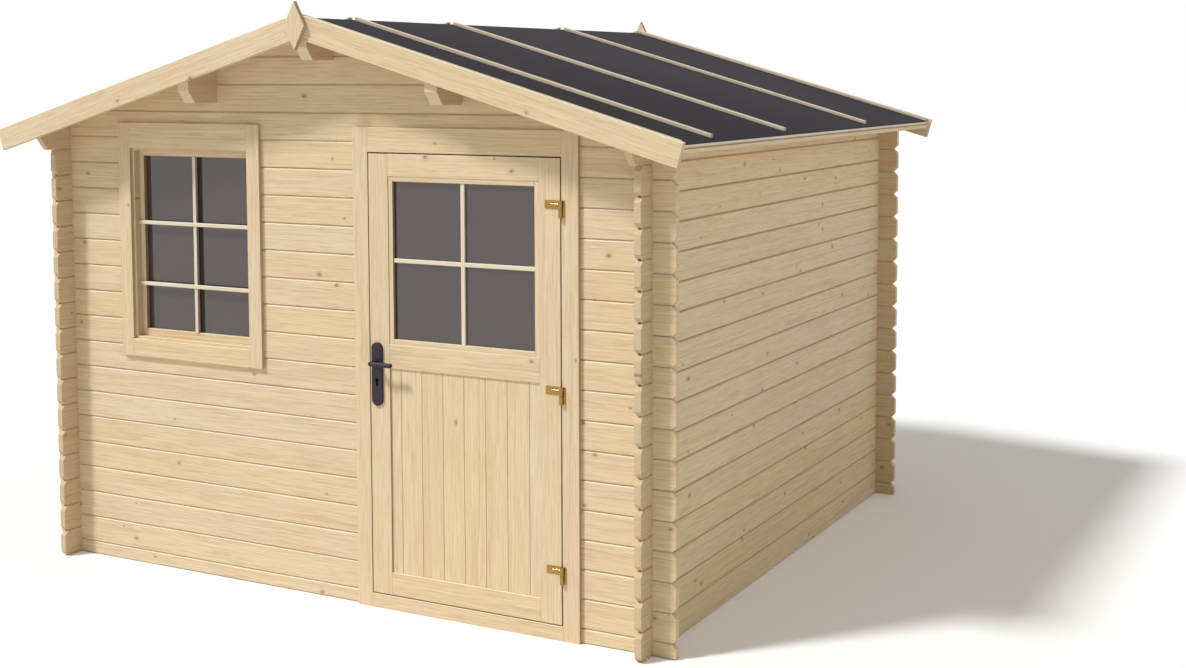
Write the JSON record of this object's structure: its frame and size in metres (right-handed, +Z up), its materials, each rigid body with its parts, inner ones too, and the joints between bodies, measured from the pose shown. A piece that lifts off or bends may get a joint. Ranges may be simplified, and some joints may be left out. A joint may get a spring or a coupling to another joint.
{
  "type": "garden shed",
  "caption": "Log-wall garden shed with a felted saddle roof, a glazed door on hinges with a lever handle, and a barred window.",
  "frame": {"origin": "middle of the footprint on the ground, under the ridge and halfway between the front and rear walls", "axes": "+X to the right as seen from in front of the door, +Y from the front wall to the rear wall, +Z up"},
  "size_m": [3.3238, 3.076, 2.4368],
  "materials": {
    "planed_spruce": "planed, untreated",
    "roofing_felt": "matt bitumen felt with fine mineral grit",
    "window_pane": "clear float glass",
    "zinc_plated_hinge": "yellow zinc plate on pressed steel",
    "coated_handle": "dark powder coat"
  },
  "bodies": {
    "shed": {"front_wall_left": "planed_spruce", "front_wall_right": "planed_spruce", "front_gable": "planed_spruce", "rear_wall": "planed_spruce", "left_wall": "planed_spruce", "right_wall": "planed_spruce", "left_top_log": "planed_spruce", "right_top_log": "planed_spruce", "ridge_purlin": "planed_spruce", "left_purlin": "planed_spruce", "right_purlin": "planed_spruce", "left_roof_boards": "planed_spruce", "right_roof_boards": "planed_spruce", "left_roof_felt": "roofing_felt", "right_roof_felt": "roofing_felt", "roof_battens": "planed_spruce", "eave_laths": "planed_spruce", "left_verge_laths": "planed_spruce", "right_verge_laths": "planed_spruce", "left_bargeboards": "planed_spruce", "right_bargeboards": "planed_spruce", "front_finial": "planed_spruce", "rear_finial": "planed_spruce", "floor_boards": "planed_spruce", "floor_joists": "planed_spruce", "door_frame": "planed_spruce", "door_sill": "planed_spruce", "door_side_trims": "planed_spruce", "door_head_trim": "planed_spruce", "door_inner_trim": "planed_spruce", "frame_hinges": "zinc_plated_hinge", "window_frame": "planed_spruce", "window_side_trims": "planed_spruce", "window_cross_trims": "planed_spruce", "window_inner_trim": "planed_spruce", "window_sash": "planed_spruce", "window_glass": "window_pane"},
    "door": {"door_stiles": "planed_spruce", "door_rails": "planed_spruce", "door_panel": "planed_spruce", "door_glass": "window_pane", "leaf_hinges": "zinc_plated_hinge", "handle_plates": "coated_handle"},
    "lever": {"door_lever": "coated_handle"}
  },
  "joints": [
    {"name": "door_swing", "type": "hinge", "parent": "shed", "child": "door", "pos_m": [1.0815, -1.35, 0.95], "axis": [0, 0, 1], "range_deg": [0, 110]},
    {"name": "lever_turn", "type": "hinge", "parent": "door", "child": "lever", "pos_m": [0.2395, -1.349, 1.004], "axis": [0, 1, 0], "range_deg": [0, 40], "stiffness_Nm_per_rad": 1.2}
  ]
}
